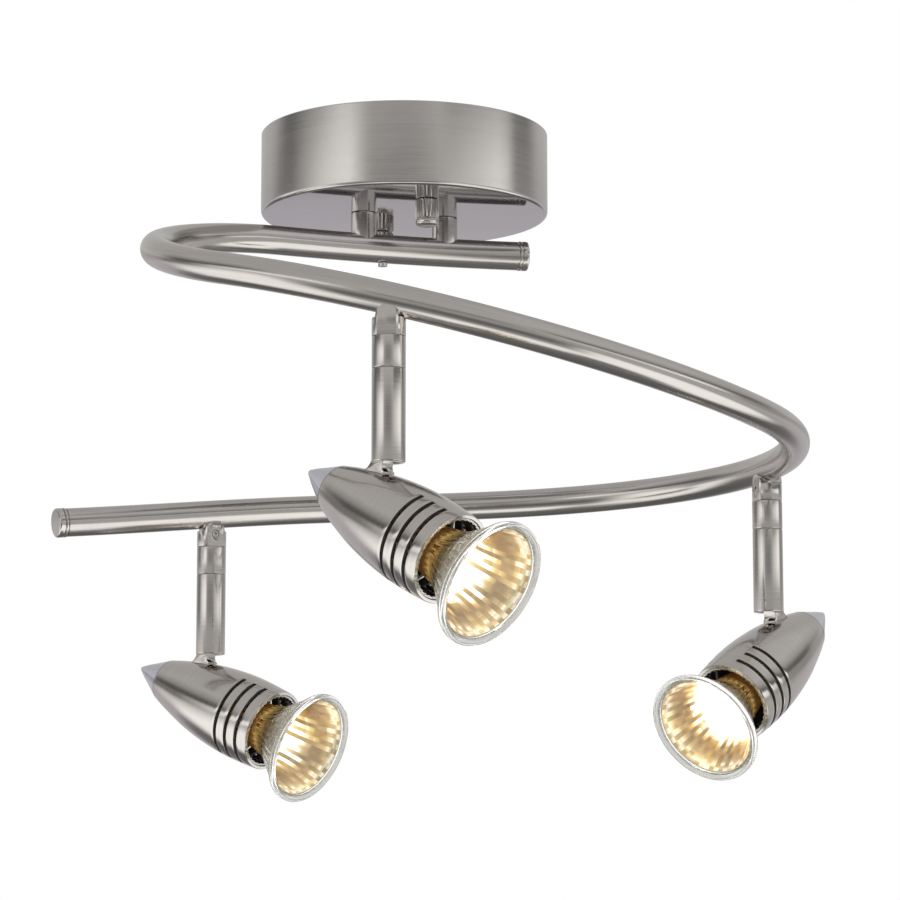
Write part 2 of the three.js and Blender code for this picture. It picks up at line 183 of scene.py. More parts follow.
def rounded(profile, steps=5):
    """A profile of (radius, height, corner radius) with its corners turned into arcs."""
    out = []
    for i, item in enumerate(profile):
        here = Vector(item[:2])
        fillet = item[2] if len(item) > 2 else 0
        if fillet == 0 or i in (0, len(profile) - 1):
            out.append(tuple(here))
            continue
        before = (Vector(profile[i - 1][:2]) - here).normalized()
        after = (Vector(profile[i + 1][:2]) - here).normalized()
        reach = fillet / math.tan(max(0.05, before.angle(after) / 2))
        start, end = here + before * reach, here + after * reach
        for k in range(steps + 1):
            t = k / steps
            out.append(tuple(start * (1 - t) ** 2 + here * 2 * t * (1 - t) + end * t**2))
    return out


def smooth_curve(points, steps=5):
    """More points along a smooth curve through (radius, height) points."""
    out = []
    ends = [points[0]] + list(points) + [points[-1]]
    for i in range(1, len(ends) - 2):
        a, b, c, d = (Vector(p) for p in ends[i - 1 : i + 3])
        for k in range(steps):
            t = k / steps
            square = 2 * a - 5 * b + 4 * c - d
            cube = 3 * b - a - 3 * c + d
            out.append(tuple(0.5 * (2 * b + (c - a) * t + square * t**2 + cube * t**3)))
    return out + [tuple(points[-1])]


def turned(name, profile, place=CEILING_FACE, sides=64, ripple=None):
    """A profile turned about Z. ripple(angle index, radius, height) may move the radius."""
    verts, faces, rings = [], [], []
    closed_loop = profile[0][0] > 1e-6 and profile[-1][0] > 1e-6
    for r, z in profile:
        if r < 1e-6:
            rings.append([len(verts)])
            verts.append((0, 0, z))
            continue
        rings.append(list(range(len(verts), len(verts) + sides)))
        for k in range(sides):
            angle = 2 * math.pi * k / sides
            radius = ripple(k, r, z) if ripple else r
            verts.append((radius * math.cos(angle), radius * math.sin(angle), z))
    pairs = list(zip(rings, rings[1:]))
    if closed_loop:
        pairs.append((rings[-1], rings[0]))
    for low, high in pairs:
        for k in range(sides):
            n = (k + 1) % sides
            if len(low) == 1 and len(high) == 1:
                break
            if len(low) == 1:
                faces.append((low[0], high[k], high[n]))
            elif len(high) == 1:
                faces.append((low[k], low[n], high[0]))
            else:
                faces.append((low[k], low[n], high[n], high[k]))
    return raw_object(name, verts, faces, place)


def round_tool(radius, low, high, place, sides):
    """A round cutter along Z of its place."""
    return turned("tool", [(0, low), (radius, low), (radius, high), (0, high)], place, sides)


def block(name, low, high, place=CEILING_FACE):
    """A box between two corners, in the axes of its place."""
    verts = [(x, y, z) for x in (low[0], high[0]) for y in (low[1], high[1]) for z in (low[2], high[2])]
    faces = [(0, 1, 3, 2), (4, 6, 7, 5), (0, 4, 5, 1), (2, 3, 7, 6), (0, 2, 6, 4), (1, 5, 7, 3)]
    return raw_object(name, verts, faces, place)


def drilled(obj, *tools):
    """obj with the tools cut out of it; the tools are used up."""
    for tool in tools:
        change = obj.modifiers.new("cut", "BOOLEAN")
        change.operation = "DIFFERENCE"
        change.solver = "EXACT"
        change.object = tool
    apply_changes(obj)
    for tool in tools:
        bpy.data.objects.remove(tool, do_unlink=True)
    return obj


def apply_changes(obj):
    """The modifiers of obj become part of its mesh."""
    bpy.context.view_layer.update()
    made = obj.evaluated_get(bpy.context.evaluated_depsgraph_get())
    mesh = bpy.data.meshes.new_from_object(made)
    obj.modifiers.clear()
    obj.data = mesh


def softened(obj, width, segments, angle):
    """obj with small round edges."""
    change = obj.modifiers.new("round", "BEVEL")
    change.width = width * MM
    change.segments = segments
    change.limit_method = "ANGLE"
    change.angle_limit = angle
    apply_changes(obj)
    return obj


def finished(obj, material, body, nodes=(), sharp=0.55):
    """Smooth shading, brush lines around the piece, finish, and the body and nodes that it belongs to."""
    mesh = obj.data
    for polygon in mesh.polygons:
        polygon.use_smooth = True
    mesh.set_sharp_from_angle(angle=sharp)
    if "grain" not in mesh.attributes:
        layer = mesh.attributes.new("grain", "FLOAT_VECTOR", "POINT")
        for i, vertex in enumerate(mesh.vertices):
            x, y, z = vertex.co / MM
            layer.data[i].vector = (x * LINE_STRETCH, y * LINE_STRETCH, z * LINE_PITCH)
    mesh.materials.clear()
    mesh.materials.append(material)
    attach(obj, body)
    if nodes:
        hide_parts(*nodes)
    return obj


# ---- Finishes ----


def group_of(name, inputs, outputs):
    """An empty node group with number sockets, and its two end nodes."""
    group = bpy.data.node_groups.new(name, "ShaderNodeTree")
    for title, value in inputs.items():
        socket = group.interface.new_socket(title, in_out="INPUT", socket_type="NodeSocketFloat")
        socket.default_value = value
    for title in outputs:
        group.interface.new_socket(title, in_out="OUTPUT", socket_type="NodeSocketFloat")
    return group, group.nodes.new("NodeGroupInput"), group.nodes.new("NodeGroupOutput")


def brushed_lines_group():
    """Fine parallel brush lines with broader streaks, from the piece's own brushing direction."""
    group, given, result = group_of(
        "brushed_lines", {"Fineness": 1.0, "Streaks": 0.5}, ("Lines", "Patches")
    )
    direction = group.nodes.new("ShaderNodeAttribute")
    direction.attribute_name = "grain"
    scaled = group.nodes.new("ShaderNodeVectorMath")
    scaled.operation = "SCALE"
    fine = group.nodes.new("ShaderNodeTexNoise")
    fine.inputs["Scale"].default_value = 1.0
    fine.inputs["Detail"].default_value = 3
    fine.inputs["Roughness"].default_value = 0.7
    broad = group.nodes.new("ShaderNodeTexNoise")
    broad.inputs["Scale"].default_value = 0.22
    broad.inputs["Detail"].default_value = 2
    mixed = group.nodes.new("ShaderNodeMix")
    link = group.links.new
    link(direction.outputs["Vector"], scaled.inputs[0])
    link(given.outputs["Fineness"], scaled.inputs["Scale"])
    link(scaled.outputs["Vector"], fine.inputs["Vector"])
    link(scaled.outputs["Vector"], broad.inputs["Vector"])
    link(given.outputs["Streaks"], mixed.inputs["Factor"])
    link(fine.outputs["Fac"], mixed.inputs["A"])
    link(broad.outputs["Fac"], mixed.inputs["B"])
    link(mixed.outputs["Result"], result.inputs["Lines"])
    link(broad.outputs["Fac"], result.inputs["Patches"])
    return group


def handling_group():
    """Faint smears and specks left by hands and dust."""
    group, given, result = group_of("handling_marks", {"Size": 40.0, "Cover": 0.5}, ("Smears", "Specks"))
    place = group.nodes.new("ShaderNodeTexCoord")
    smear = group.nodes.new("ShaderNodeTexNoise")
    smear.inputs["Detail"].default_value = 4
    smear.inputs["Distortion"].default_value = 0.8
    speck = group.nodes.new("ShaderNodeTexNoise")
    speck.inputs["Scale"].default_value = 900
    trim = group.nodes.new("ShaderNodeMapRange")
    trim.inputs["From Max"].default_value = 0.8
    dots = group.nodes.new("ShaderNodeMapRange")
    dots.inputs["From Min"].default_value = 0.68
    dots.inputs["From Max"].default_value = 0.74
    link = group.links.new
    link(place.outputs["Object"], smear.inputs["Vector"])
    link(place.outputs["Object"], speck.inputs["Vector"])
    link(given.outputs["Size"], smear.inputs["Scale"])
    link(given.outputs["Cover"], trim.inputs["From Min"])
    link(smear.outputs["Fac"], trim.inputs["Value"])
    link(speck.outputs["Fac"], dots.inputs["Value"])
    link(trim.outputs["Result"], result.inputs["Smears"])
    link(dots.outputs["Result"], result.inputs["Specks"])
    return group


BRUSHED_LINES = brushed_lines_group()
HANDLING_MARKS = handling_group()


def new_material(name):
    """A material, its nodes, its link maker and its shader."""
    material = bpy.data.materials.new(name)
    material.use_nodes = True
    nodes = material.node_tree.nodes
    return material, nodes, material.node_tree.links.new, nodes["Principled BSDF"]


def placed_group(nodes, group, **values):
    """The group placed in a material with its own values."""
    node = nodes.new("ShaderNodeGroup")
    node.node_tree = group
    for title, value in values.items():
        node.inputs[title].default_value = value
    return node


def ranged(nodes, link, value, low, high, low_in=0.0, high_in=1.0):
    """A value moved from its own range to low and high."""
    node = nodes.new("ShaderNodeMapRange")
    node.inputs["From Min"].default_value = low_in
    node.inputs["From Max"].default_value = high_in
    node.inputs["To Min"].default_value = low
    node.inputs["To Max"].default_value = high
    link(value, node.inputs["Value"])
    return node.outputs["Result"]


def ramp(nodes, link, value, stops):
    """A colour that changes with a value."""
    node = nodes.new("ShaderNodeValToRGB")
    while len(node.color_ramp.elements) < len(stops):
        node.color_ramp.elements.new(0.5)
    for element, (place, colour) in zip(node.color_ramp.elements, stops):
        element.position = place
        element.color = (*colour, 1)
    link(value, node.inputs["Fac"])
    return node.outputs["Color"]


def two_tones(nodes, link, value, first, second):
    """A mix of two colours by a value."""
    node = nodes.new("ShaderNodeMix")
    node.data_type = "RGBA"
    node.inputs["A"].default_value = (*first, 1)
    node.inputs["B"].default_value = (*second, 1)
    link(value, node.inputs["Factor"])
    return node.outputs["Result"]


def relief(nodes, link, shader, height, strength, depth):
    """Fine relief on the surface; depth is in metres."""
    node = nodes.new("ShaderNodeBump")
    node.inputs["Strength"].default_value = strength
    node.inputs["Distance"].default_value = depth
    link(height, node.inputs["Height"])
    link(node.outputs["Normal"], shader.inputs["Normal"])


def height_on_piece(nodes, link):
    """A point of the piece, and how far it is along the piece's own Z."""
    place = nodes.new("ShaderNodeTexCoord")
    parts = nodes.new("ShaderNodeSeparateXYZ")
    link(place.outputs["Object"], parts.inputs["Vector"])
    return place.outputs["Object"], parts.outputs["Z"]


BRUSH_DEPTH = 0.00004
SPECK_DEPTH = 0.00005
WAVE_DEPTH = 0.0003
FOIL_DEPTH = 0.0006


def metal(name, dark, light, rough, bump=0.12, fineness=1.0, streaks=0.35, anisotropy=0.0):
    """Plated metal: two close tones along the brush lines, roughness and relief from the same lines."""
    material, nodes, link, shader = new_material(name)
    shader.inputs["Metallic"].default_value = 1.0
    shader.inputs["Anisotropic"].default_value = anisotropy
    shader.inputs["Anisotropic Rotation"].default_value = 0.25
    lines = placed_group(nodes, BRUSHED_LINES, Fineness=fineness, Streaks=streaks)
    marks = placed_group(nodes, HANDLING_MARKS)
    line_tone = ranged(nodes, link, lines.outputs["Lines"], 0, 1, 0.3, 0.7)
    link(two_tones(nodes, link, line_tone, dark, light), shader.inputs["Base Color"])
    total = nodes.new("ShaderNodeMath")
    total.operation = "ADD"
    link(ranged(nodes, link, lines.outputs["Lines"], rough[0], rough[1], 0.25, 0.75), total.inputs[0])
    link(ranged(nodes, link, marks.outputs["Smears"], 0, 0.05), total.inputs[1])
    link(total.outputs["Value"], shader.inputs["Roughness"])
    relief(nodes, link, shader, lines.outputs["Lines"], bump, BRUSH_DEPTH)
    if anisotropy:
        tangent = nodes.new("ShaderNodeTangent")
        tangent.direction_type = "RADIAL"
        tangent.axis = "Z"
        link(tangent.outputs["Tangent"], shader.inputs["Tangent"])
    return material


def speckled(name, base, shade, rough, grain_size, metallic=0.0):
    """Moulded, cast or glazed stuff with a soft mottle and fine relief."""
    material, nodes, link, shader = new_material(name)
    shader.inputs["Metallic"].default_value = metallic
    marks = placed_group(nodes, HANDLING_MARKS, Size=grain_size, Cover=0.35)
    link(two_tones(nodes, link, marks.outputs["Smears"], base, shade), shader.inputs["Base Color"])
    link(ranged(nodes, link, marks.outputs["Smears"], rough[0], rough[1]), shader.inputs["Roughness"])
    relief(nodes, link, shader, marks.outputs["Specks"], 0.2, SPECK_DEPTH)
    return material


SATIN_ROUND = metal("satin_nickel_turned", (0.60, 0.575, 0.55), (0.70, 0.675, 0.65), (0.09, 0.19))
SATIN_CANOPY = metal(
    "satin_nickel_spun", (0.61, 0.59, 0.57), (0.69, 0.67, 0.65), (0.14, 0.26), 0.14, 0.8, 0.35, 0.5
)
SATIN_TUBE = metal("satin_nickel_drawn", (0.56, 0.54, 0.515), (0.68, 0.655, 0.63), (0.14, 0.22), 0.1)
POLISHED = metal("polished_nickel", (0.68, 0.69, 0.77), (0.74, 0.75, 0.83), (0.03, 0.07), 0.03)
POLISHED_FACE = metal("polished_canopy_face", (0.50, 0.49, 0.51), (0.54, 0.53, 0.55), (0.03, 0.06), 0.02)
BARE_STEEL = metal("bright_steel", (0.62, 0.61, 0.60), (0.74, 0.73, 0.72), (0.18, 0.32))
ZINC_PLATE = speckled("zinc_plate", (0.55, 0.56, 0.57), (0.45, 0.46, 0.48), (0.3, 0.5), 300, 1.0)
BRASS = speckled("plain_brass", (0.74, 0.56, 0.28), (0.60, 0.43, 0.20), (0.25, 0.4), 200, 1.0)
TERMINAL = speckled("terminal_plastic", (0.78, 0.76, 0.70), (0.70, 0.68, 0.62), (0.45, 0.6), 120)
# Near-black painted shade for the inside of the housings.
PAINTED_SHADE_BLACK = speckled("painted_shade_black", (0.03, 0.03, 0.03), (0.06, 0.055, 0.05), (0.4, 0.6), 150)
CERAMIC = speckled("white_ceramic", (0.80, 0.78, 0.73), (0.68, 0.64, 0.57), (0.2, 0.4), 150)


def clear_glass(name, waves, smooth, hazy, glow):
    """Clear pressed glass, with slight waves and a painted glow that stands in for the light it takes from
    the lamp.
    """
    material, nodes, link, shader = new_material(name)
    shader.inputs["IOR"].default_value = 1.45
    shader.inputs["Transmission Weight"].default_value = 1.0
    shader.inputs["Emission Strength"].default_value = glow
    marks = placed_group(nodes, HANDLING_MARKS, Size=260, Cover=0.2)
    tint = ramp(nodes, link, marks.outputs["Smears"], ((0, (0.97, 0.97, 0.95)), (1, (0.93, 0.94, 0.91))))
    lit = ramp(nodes, link, marks.outputs["Smears"], ((0, (1.0, 0.99, 0.95)), (1, (0.8, 0.8, 0.76))))
    link(tint, shader.inputs["Base Color"])
    link(lit, shader.inputs["Emission Color"])
    link(ranged(nodes, link, marks.outputs["Smears"], smooth, hazy), shader.inputs["Roughness"])
    relief(nodes, link, shader, marks.outputs["Smears"], waves, WAVE_DEPTH)
    return material


# Painted glow of the mirror coat: emission bands by depth and facet stand in for the capsule's light on it.
COAT_BACK = 0.040
COAT_FRONT = 0.0694
FACET_SPREAD = 0.21
COAT_GLOW = (
    (0.0, (1.0, 0.98, 0.94)),
    (0.53, (1.0, 0.97, 0.9)),
    (0.59, (0.92, 0.68, 0.27)),
    (0.67, (0.7, 0.45, 0.14)),
    (0.76, (0.8, 0.55, 0.22)),
    (0.86, (0.95, 0.78, 0.42)),
    (0.93, (1.0, 0.97, 0.86)),
    (1.0, (0.85, 0.66, 0.32)),
)
COAT_POWER = (
    (0.0, 1.0),
    (0.53, 0.8),
    (0.59, 0.3),
    (0.67, 0.13),
    (0.76, 0.17),
    (0.84, 0.2),
    (0.92, 0.5),
    (1.0, 0.16),
)
COAT_TINT = (
    (0.0, (0.9, 0.8, 0.6)),
    (0.6, (0.4, 0.26, 0.09)),
    (0.72, (0.22, 0.12, 0.03)),
    (0.9, (0.5, 0.36, 0.16)),
)
FOIL_TINT = (
    (0.3, (0.16, 0.11, 0.05)),
    (0.46, (0.46, 0.35, 0.18)),
    (0.56, (0.72, 0.68, 0.6)),
    (0.62, (0.28, 0.24, 0.18)),
    (0.7, (0.9, 0.9, 0.9)),
    (0.78, (0.45, 0.43, 0.4)),
)
# Painted amber glow on the back of the coat, by depth.
FOIL_GLOW = (
    (0.0, (0.0, 0.0, 0.0)),
    (0.2, (0.05, 0.03, 0.01)),
    (0.36, (0.5, 0.33, 0.11)),
    (0.52, (0.1, 0.07, 0.03)),
    (1.0, (0.05, 0.04, 0.02)),
)


def mirror_coat():
    """Thin warm mirror coat of the lit lamp, its glow painted as emission by depth in place of the capsule's
    light: white hot deep down, gold outside, pale ridges at the rim.
    """
    material, nodes, link, shader = new_material("lit_mirror_coat")
    shader.inputs["Metallic"].default_value = 1.0
    height = height_on_piece(nodes, link)[1]
    facet = nodes.new("ShaderNodeAttribute")
    facet.attribute_name = "facet"
    spread = nodes.new("ShaderNodeMath")
    spread.operation = "MULTIPLY_ADD"
    link(facet.outputs["Fac"], spread.inputs[0])
    spread.inputs[1].default_value = FACET_SPREAD
    link(ranged(nodes, link, height, 0, 1, COAT_BACK, COAT_FRONT), spread.inputs[2])
    outward = spread.outputs["Value"]
    strength = nodes.new("ShaderNodeMix")
    strength.data_type = "RGBA"
    strength.blend_type = "MULTIPLY"
    strength.inputs["Factor"].default_value = 1.0
    link(ramp(nodes, link, outward, COAT_GLOW), strength.inputs["A"])
    powers = [(place, (power,) * 3) for place, power in COAT_POWER]
    link(ramp(nodes, link, outward, powers), strength.inputs["B"])
    link(strength.outputs["Result"], shader.inputs["Emission Color"])
    shader.inputs["Emission Strength"].default_value = 1.9
    link(ramp(nodes, link, outward, COAT_TINT), shader.inputs["Base Color"])
    link(ranged(nodes, link, facet.outputs["Fac"], 0.1, 0.3), shader.inputs["Roughness"])
    return material


def foil_back():
    """Back of the mirror coat: mottled silver and olive, with a painted amber glow by the neck."""
    material, nodes, link, shader = new_material("mirror_coat_back")
    shader.inputs["Metallic"].default_value = 1.0
    point, height = height_on_piece(nodes, link)
    mottle = nodes.new("ShaderNodeTexNoise")
    mottle.inputs["Scale"].default_value = 420
    mottle.inputs["Detail"].default_value = 4
    mottle.inputs["Distortion"].default_value = 1.2
    link(point, mottle.inputs["Vector"])
    silvering = nodes.new("ShaderNodeMath")
    silvering.operation = "ADD"
    link(mottle.outputs["Fac"], silvering.inputs[0])
    link(ranged(nodes, link, height, -0.04, 0.16, 0.048, 0.068), silvering.inputs[1])
    link(ramp(nodes, link, silvering.outputs["Value"], FOIL_TINT), shader.inputs["Base Color"])
    outward = ranged(nodes, link, height, 0, 1, COAT_BACK, 0.062)
    link(ramp(nodes, link, outward, FOIL_GLOW), shader.inputs["Emission Color"])
    shader.inputs["Emission Strength"].default_value = 1.0
    link(ranged(nodes, link, mottle.outputs["Fac"], 0.15, 0.4), shader.inputs["Roughness"])
    relief(nodes, link, shader, mottle.outputs["Fac"], 0.6, FOIL_DEPTH)
    return material


def glowing(name, colour, strength):
    """Something lit up from inside, slightly uneven."""
    material, nodes, link, shader = new_material(name)
    marks = placed_group(nodes, HANDLING_MARKS, Size=200)
    tones = ramp(nodes, link, marks.outputs["Smears"], ((0, colour), (1, tuple(c * 0.7 for c in colour))))
    link(tones, shader.inputs["Base Color"])
    link(tones, shader.inputs["Emission Color"])
    link(ranged(nodes, link, marks.outputs["Smears"], 0.1, 0.3), shader.inputs["Roughness"])
    shader.inputs["Emission Strength"].default_value = strength
    return material


GLASS = clear_glass("pressed_glass", 0.25, 0.02, 0.06, 0.0)
LENS_GLASS = clear_glass("front_glass", 0.0, 0.0, 0.02, 0.0)
# The rim glass carries a faint painted glow.
RIM_GLASS = clear_glass("rim_glass", 0.1, 0.06, 0.14, 0.05)
MIRROR = mirror_coat()
# The lamp neck: amber, with a faint painted glow.
AMBER_PAINTED_GLOW = glowing("amber_neck_painted_glow", (0.5, 0.25, 0.06), 0.03)
FOIL = foil_back()
HOT = glowing("burning_capsule", (1.0, 0.95, 0.85), 5)


# ---- Ceiling side ----


def make_canopy():
    """Spun cup with holes for the studs and posts; its flat face is polished."""
    outer, floor, wall = CANOPY_RADIUS, -CANOPY_HEIGHT, CANOPY_WALL
    profile = rounded(
        [
            (0, floor),
            (outer, floor, CANOPY_FILLET),
            (outer, -0.5, 0),
            (outer - 0.5, 0, 0),
            (outer - wall, 0, 0),
            (outer - wall, floor + wall, 2.0),
            (0, floor + wall),
        ],
        8,
    )
    canopy = turned("canopy_cup", profile, sides=160)
    tools = []
    for way in (-1, 1):
        at_stud = Matrix.Translation((0, way * NUT_OFFSET * MM, 0))
        at_post = Matrix.Translation((way * POST_OFFSET * MM, 0, 0))
        tools.append(round_tool(STUD_HOLE, floor - 2, floor + 3, at_stud, 32))
        tools.append(round_tool(POST_HOLE, floor - 2, floor + 3, at_post, 32))
    drilled(canopy, *tools)
    finished(canopy, SATIN_CANOPY, "fixture", ["canopy"])
    canopy.data.materials.append(POLISHED_FACE)
    for polygon in canopy.data.polygons:
        if polygon.normal.z < -0.75:
            polygon.material_index = 1


# Depth of one knurl tooth, at five points round it.
KNURL_CUT = [0.9 * share for share in (0.0, 0.25, 1.0, 1.0, 0.25)]


def make_thumb_nut(end, way):
    """Knurled sleeve with a plain rounded bead at its lower end."""
    top = -CANOPY_HEIGHT - NUT_GAP
    low = top - NUT_LENGTH
    profile = rounded(
        [
            (0, low),
            (3.6, low, 0),
            (5.0, low + 0.5, 0.8),
            (5.0, low + 2.4, 0.8),
            (4.3, low + 2.9, 0),
            (5.1, low + 3.4, 0),
            (5.1, top - 0.6, 0),
            (4.4, top, 0),
            (2.1, top, 0),
            (2.1, low + 2.5, 0),
            (0, low + 2.5),
        ],
        4,
    )

    def knurl(k, r, z):
        on_grip = r > 4.8 and z > low + 3.2
        return r - KNURL_CUT[k % len(KNURL_CUT)] if on_grip else r

    place = Matrix.Translation((0, way * NUT_OFFSET * MM, 0))
    nut = turned("thumb_nut_" + end, profile, place, 100, knurl)
    finished(nut, SATIN_ROUND, end + "_nut", [end + "_thumb_nut"], 0.35)


def make_post(end, way):
    """Round post from inside the canopy down to a saddle on the tube."""
    place = station(TUBE_START[0] - way * POST_OFFSET)
    centre = place.translation.z / MM
    upright = Matrix.Translation((way * POST_OFFSET * MM, 0, 0))
    shoulder = -CANOPY_HEIGHT - 0.05
    profile = rounded(
        [
            (0, centre),
            (POST_RADIUS, centre),
            (POST_RADIUS, shoulder, 0.5),
            (4, shoulder),
            (4, -27),
            (0, -27),
        ],
        4,
    )
    post = turned("post_" + end, profile, upright, 64)
    drilled(post, round_tool(SADDLE_RADIUS, -20, 20, place @ Z_TO_X, 96))
    finished(post, SATIN_ROUND, "fixture", [end + "_post"])


# ---- Tube and end caps ----


def make_tube():
    """One hollow tube swept along its centre line, with brush lines along it."""
    rings, around = 520, 40
    start, end = CAP_LENGTH - 0.25, TUBE_LENGTH - CAP_LENGTH + 0.25
    verts, grain, faces = [], [], []
    for radius in (TUBE_RADIUS, TUBE_BORE):
        for i in range(rings + 1):
            distance = start + (end - start) * i / rings
            place = station(distance, True)
            for k in range(around):
                angle = 2 * math.pi * k / around
                side, up = math.cos(angle), math.sin(angle)
                point = place @ (Vector((0, side * radius, up * radius)) * MM)
                verts.append(tuple(point / MM))
                grain.append((distance * 0.05, side * 18, up * 18))
    inner = (rings + 1) * around
    for i in range(rings):
        for k in range(around):
            n = (k + 1) % around
            a, b, c, d = i * around + k, i * around + n, (i + 1) * around + n, (i + 1) * around + k
            faces.append((a, b, c, d))
            faces.append((inner + d, inner + c, inner + b, inner + a))
    for i in (0, rings):
        for k in range(around):
            n = (k + 1) % around
            ring = (i * around + k, i * around + n, inner + i * around + n, inner + i * around + k)
            faces.append(ring if i else ring[::-1])
    mesh = bpy.data.meshes.new("swept_tube")
    mesh.from_pydata([Vector(v) * MM for v in verts], [], faces)
    layer = mesh.attributes.new("grain", "FLOAT_VECTOR", "POINT")
    for i, value in enumerate(grain):
        layer.data[i].vector = value
    tube = bpy.data.objects.new("swept_tube", mesh)
    bpy.context.scene.collection.objects.link(tube)
    finished(tube, SATIN_TUBE, "fixture", ["spiral_tube"])


def make_end_cap(end, distance, outward):
    """Stepped plug with two raised bands and a groove between them."""
    place = station(distance, True) @ Matrix.Rotation(outward * math.pi / 2, 4, "Y")
    long = CAP_LENGTH - 0.3
    profile = rounded(
        [
            (0, -6),
            (4.6, -6, 0),
            (4.8, 0, 0),
            (5.4, 0, 0),
            (5.4, 0.75, 0),
            (6.6, 0.8, 0.25),
            (6.6, 1.75, 0.25),
            (5.7, 1.8, 0),
            (5.7, 2.3, 0),
            (6.55, 2.35, 0.2),
            (6.55, long - 0.02, 0.9),
            (0, long),
        ],
        5,
    )
    cap = turned("tube_cap_" + end, profile, place, 64)
    finished(cap, SATIN_ROUND, "fixture", [end + "_end_cap"], 0.45)


# ---- Arms ----


def make_neck(side, distance):
    """Neck coped to the tube, flat on two sides with an arch between, and its grub screw."""
    upright = station(distance)
    neck_profile = [(0, NECK_BOTTOM), (NECK_RADIUS, NECK_BOTTOM), (NECK_RADIUS, 0), (0, 0)]
    neck = turned("coped_neck_" + side, neck_profile, upright, 96)
    saddle = round_tool(SADDLE_RADIUS, -20, 20, station(distance, True) @ Z_TO_X, 128)
    flats = []
    for way in (-1, 1):
        near, far = sorted((way * NECK_FLAT, way * 12))
        flats.append(block("tool", (-12, near, NECK_BOTTOM - 1), (12, far, 1), upright))
    arch = block("tool", (-12, -12, NECK_ARCH_HEIGHT), (12, 12, 2), upright)
    arch_middle = upright @ Matrix.Translation((0, 0, NECK_ARCH_HEIGHT * MM)) @ Z_TO_Y
    drilled(arch, round_tool(NECK_ARCH_RADIUS, -14, 14, arch_middle, 96))
    grub_place = upright @ Matrix.Translation((0, 0, GRUB_HEIGHT * MM)) @ Z_TO_Y
    hole = round_tool(GRUB_HOLE, 2, 9, grub_place, 32)
    drilled(neck, saddle, *flats, arch, hole)
    softened(neck, 0.25, 2, 0.7)
    finished(neck, SATIN_ROUND, "fixture", [side + "_neck"], 0.5)

    grub_profile = rounded([(0, 2.9), (1.6, 2.9, 0), (1.6, 5.35, 0.3), (0, 5.35)], 3)
    screw = turned("grub_screw_" + side, grub_profile, grub_place, 40)
    drilled(screw, round_tool(0.85, 3.9, 7, grub_place, 6))
    finished(screw, BARE_STEEL, "fixture", [side + "_set_screw"], 0.5)


def make_collar_and_stem(side, distance, heading):
    """Fixed collar, swivelling stem slotted for the tongue, and the hinge pin; gives the pin's place."""
    upright = Matrix.Translation(station(distance).translation)
    top = NECK_BOTTOM - ARM_GAP
    collar = rounded(
        [
            (3.8, COLLAR_BOTTOM, 0),
            (ARM_RADIUS, COLLAR_BOTTOM, 0.35),
            (ARM_RADIUS, top, 0.35),
            (3.8, top, 0),
        ],
        4,
    )
    ring = turned("collar_" + side, collar, upright, 96)
    finished(ring, SATIN_ROUND, "fixture", [side + "_collar"])

    swivel = upright @ Matrix.Rotation(math.radians(heading), 4, "Z")
    stem_top = COLLAR_BOTTOM - ARM_GAP
    body = rounded(
        [
            (0, STEM_BOTTOM),
            (ARM_RADIUS, STEM_BOTTOM, 0.6),
            (ARM_RADIUS, stem_top, 0.35),
            (3.7, stem_top, 0),
            (3.7, -20.5, 0),
            (0, -20.5),
        ],
        4,
    )
    stem = turned("swivel_stem_" + side, body, swivel, 96)
    slot_low, slot_high = (-10, -TONGUE_SLOT, STEM_BOTTOM - 1), (3.1, TONGUE_SLOT, PIN_HEIGHT + 3.4)
    slot = block("tool", slot_low, slot_high, swivel)
    bore = round_tool(STEM_BORE, PIN_HEIGHT, -19, swivel, 24)
    drilled(stem, slot, bore)
    softened(stem, 0.18, 2, 0.7)
    body_name = side + "_stem_body"
    finished(stem, SATIN_ROUND, body_name, [side + "_stem"], 0.5)

    pivot = swivel @ Matrix.Translation((0, 0, PIN_HEIGHT * MM))
    pin_profile = [(0, -PIN_HALF), (PIN_RADIUS, -PIN_HALF, 0.4), (PIN_RADIUS, PIN_HALF, 0.4), (0, PIN_HALF)]
    pin = turned("hinge_pin_" + side, rounded(pin_profile, 4), pivot @ Z_TO_Y, 40)
    finished(pin, BARE_STEEL, body_name, [side + "_tilt_pin"])
    return pivot


# ---- Heads ----


def shell_radius(place):
    """Outer radius of the bullet housing at a place along it."""
    for (r0, z0), (r1, z1) in zip(SHELL, SHELL[1:]):
        if z0 <= place <= z1:
            return r0 + (r1 - r0) * (place - z0) / (z1 - z0)
    return SHELL[0][0]


def make_tongue(side, tilt):
    """Flat link from the hinge pin down to a flared foot on the housing."""
    outline = [(2.8 * math.cos(a), 2.8 * math.sin(a)) for a in [k * math.pi / 12 for k in range(13)]]
    foot = [(2.8, -5.5), (3.1, -6.8), (4.0, -7.9), (5.2, -8.4)]
    left = [(-2.8, -6.5), (-2.95, -8.6), (-3.4, -10.2), (-4.4, -11.6)]
    bottom = [(x, -HEAD_DROP + shell_radius(x) - 0.6) for x in (5.2, 2.6, 0, -2.6, -4.4)]
    outline += left + bottom[::-1] + foot[::-1]
    count = len(outline)
    verts = [(x, y, z) for y in (-TONGUE_HALF, TONGUE_HALF) for x, z in outline]
    faces = [tuple(range(count)), tuple(range(2 * count - 1, count - 1, -1))]
    faces += [(k, (k + 1) % count, (k + 1) % count + count, k + count) for k in range(count)]
    tongue = raw_object("tilt_tongue_" + side, verts, faces, tilt)
    drilled(tongue, round_tool(PIN_RADIUS + 0.05, -9, 9, tilt @ Z_TO_Y, 40))
    softened(tongue, 0.35, 3, 0.9)
    finished(tongue, SATIN_ROUND, side + "_head", [side + "_tongue"], 0.5)


